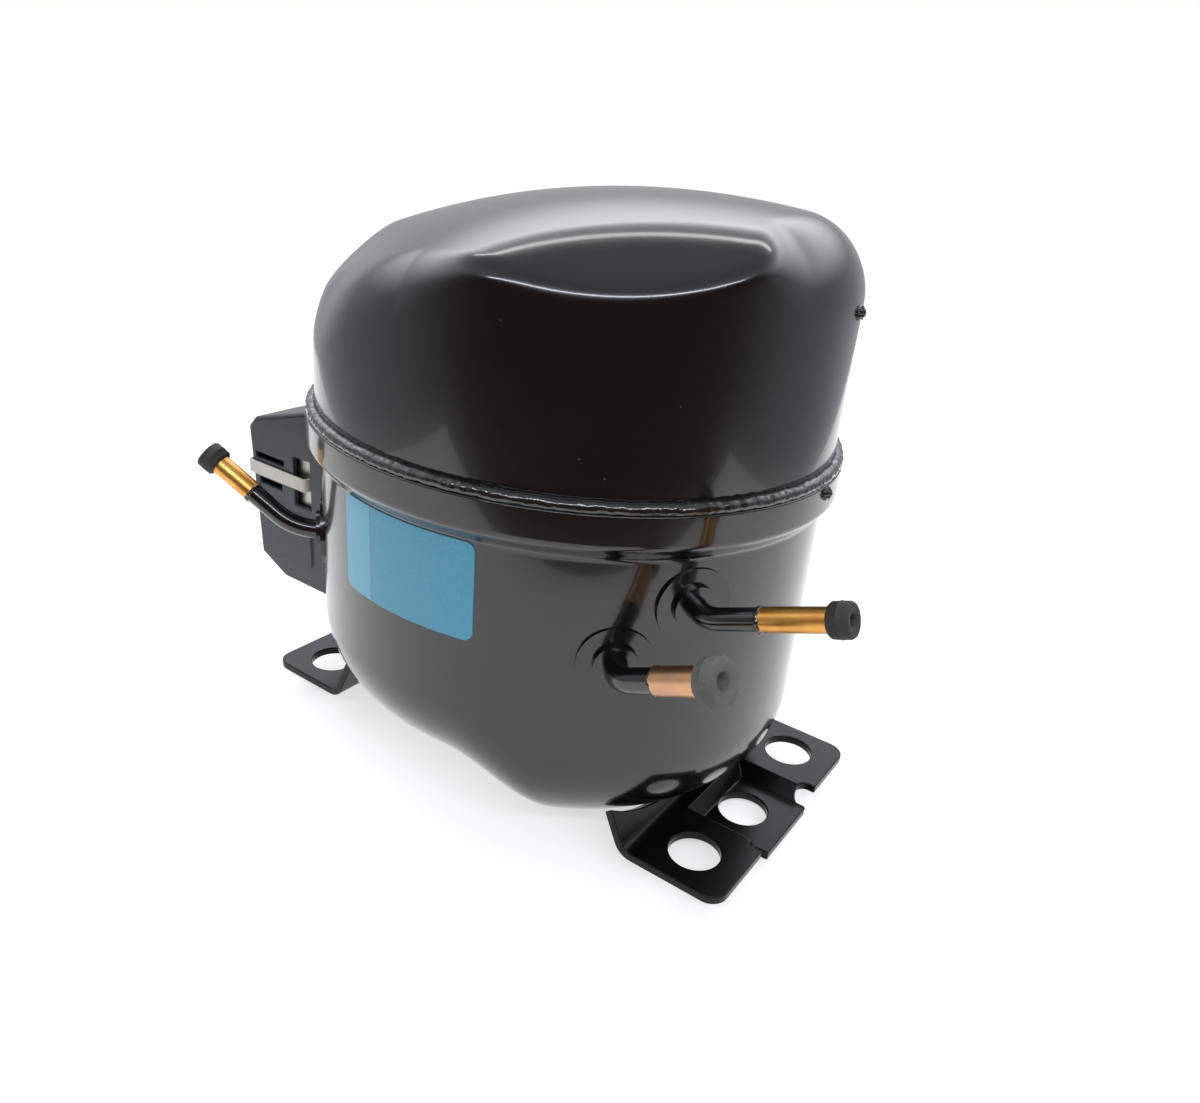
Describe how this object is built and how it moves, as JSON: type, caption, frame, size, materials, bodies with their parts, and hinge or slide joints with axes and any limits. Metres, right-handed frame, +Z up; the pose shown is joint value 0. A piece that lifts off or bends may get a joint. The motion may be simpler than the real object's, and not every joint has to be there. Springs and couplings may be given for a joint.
{
  "type": "hermetic reciprocating compressor",
  "caption": "Welded steel shell on two bolt-down feet, holding a spring-hung motor and piston pump, with copper tube stubs and a terminal box.",
  "frame": {"origin": "centre of the rectangle of the four outer foot holes, on the underside of the outer foot tabs", "axes": "+Z up, +X along the length towards the cylinder head end, -X towards the terminal box, +Y to the side away from the tube stubs"},
  "size_m": [0.2412, 0.1676, 0.2],
  "materials": {
    "black_paint": "gloss black baked paint on pressed steel",
    "weld_bead": "lumpy weld bead, thinly painted over",
    "copper": "bright drawn copper tube",
    "black_rubber": "moulded rubber, matt",
    "label_film": "blue printed film label, no print on it",
    "cover_plastic": "dark grey moulded plastic",
    "strap_plastic": "cream moulded strap",
    "zinc_steel": "zinc plated pressed steel",
    "lamination": "stacked electrical steel sheet",
    "winding": "enamelled copper wire",
    "cast_aluminium": "die cast aluminium",
    "cast_iron": "machined grey cast iron",
    "ground_steel": "ground and polished steel",
    "sintered_steel": "sintered steel",
    "bronze": "bearing bronze",
    "spring_steel": "blued spring steel",
    "gasket_fibre": "compressed fibre gasket",
    "white_plastic": "white engineering plastic",
    "black_plastic": "black phenolic moulding",
    "lead_insulation": "coloured lead insulation"
  },
  "bodies": {
    "shell": {"lower_shell": "black_paint", "upper_shell": "black_paint", "seam_weld": "weld_bead", "shell_pips": "black_paint", "foot_right": "black_paint", "foot_left": "black_paint", "suction_tube": "black_paint", "process_tube": "black_paint", "discharge_tube": "black_paint", "suction_stub": "copper", "process_stub": "copper", "discharge_stub": "copper", "tube_collars": "black_paint", "rating_label": "label_film", "terminal_body": "zinc_steel", "terminal_pins": "ground_steel", "terminal_fence": "zinc_steel", "earth_screw": "zinc_steel", "start_relay": "black_plastic", "overload_protector": "black_plastic", "lower_spring_seats": "zinc_steel", "cluster_plug": "white_plastic"},
    "pump": {"stator_core": "lamination", "stator_winding": "winding", "crankcase": "cast_iron", "stator_bolts": "zinc_steel", "upper_spring_caps": "black_rubber", "thrust_washer": "bronze", "cylinder_gasket": "gasket_fibre", "suction_reed": "spring_steel", "valve_plate": "sintered_steel", "reed_stop": "zinc_steel", "head_gasket": "gasket_fibre", "cylinder_head": "cast_aluminium", "head_screws": "zinc_steel", "suction_muffler": "white_plastic", "discharge_muffler": "zinc_steel", "suspension_springs": "spring_steel", "discharge_loop": "zinc_steel", "motor_leads": "lead_insulation"},
    "crank": {"crankshaft": "cast_iron", "rotor_core": "lamination", "rotor_cage": "cast_aluminium", "balance_weight": "zinc_steel", "oil_pickup": "zinc_steel"},
    "piston_set": {"piston": "sintered_steel", "wrist_pin": "ground_steel"},
    "rod": {"connecting_rod": "sintered_steel", "big_end_bush": "bronze"},
    "reed": {"discharge_reed": "spring_steel"},
    "cover": {"terminal_cover": "cover_plastic", "cover_clip": "strap_plastic"},
    "suction_cap": {"suction_plug": "black_rubber"},
    "process_cap": {"process_plug": "black_rubber"},
    "discharge_cap": {"discharge_plug": "black_rubber"}
  },
  "joints": [
    {"name": "suspension", "type": "slide", "parent": "shell", "child": "pump", "axis": [0, 0, 1], "range_m": [-0.003, 0.003], "stiffness_N_per_m": 20000, "springref_m": 0.0027, "deforming": ["suspension_springs", "discharge_loop", "motor_leads"]},
    {"name": "crank_spin", "type": "hinge", "parent": "pump", "child": "crank", "pos_m": [-0.003, 0, 0.09], "axis": [0, 0, 1], "continuous": true},
    {"name": "piston_stroke", "type": "slide", "parent": "pump", "child": "piston_set", "axis": [1, 0, 0], "range_m": [-0.021, 0]},
    {"name": "rod_swing", "type": "hinge", "parent": "piston_set", "child": "rod", "pos_m": [0.0455, 0, 0.1501], "axis": [0, 0, 1], "range_deg": [-16, 16]},
    {"name": "reed_lift", "type": "hinge", "parent": "pump", "child": "reed", "pos_m": [0.05845, 0.0055, 0.1391], "axis": [0, 1, 0], "range_deg": [0, 3.8], "stiffness_Nm_per_rad": 0.05},
    {"name": "cover_pull", "type": "slide", "parent": "shell", "child": "cover", "axis": [-1, 0, 0], "range_m": [0, 0.06]},
    {"name": "suction_plug_pull", "type": "slide", "parent": "shell", "child": "suction_cap", "axis": [0.8824, -0.1445, 0.4478], "range_m": [0, 0.015]},
    {"name": "process_plug_pull", "type": "slide", "parent": "shell", "child": "process_cap", "axis": [0.9336, -0.0033, 0.3584], "range_m": [0, 0.015]},
    {"name": "discharge_plug_pull", "type": "slide", "parent": "shell", "child": "discharge_cap", "axis": [-0.7578, -0.3031, 0.5779], "range_m": [0, 0.015]}
  ]
}
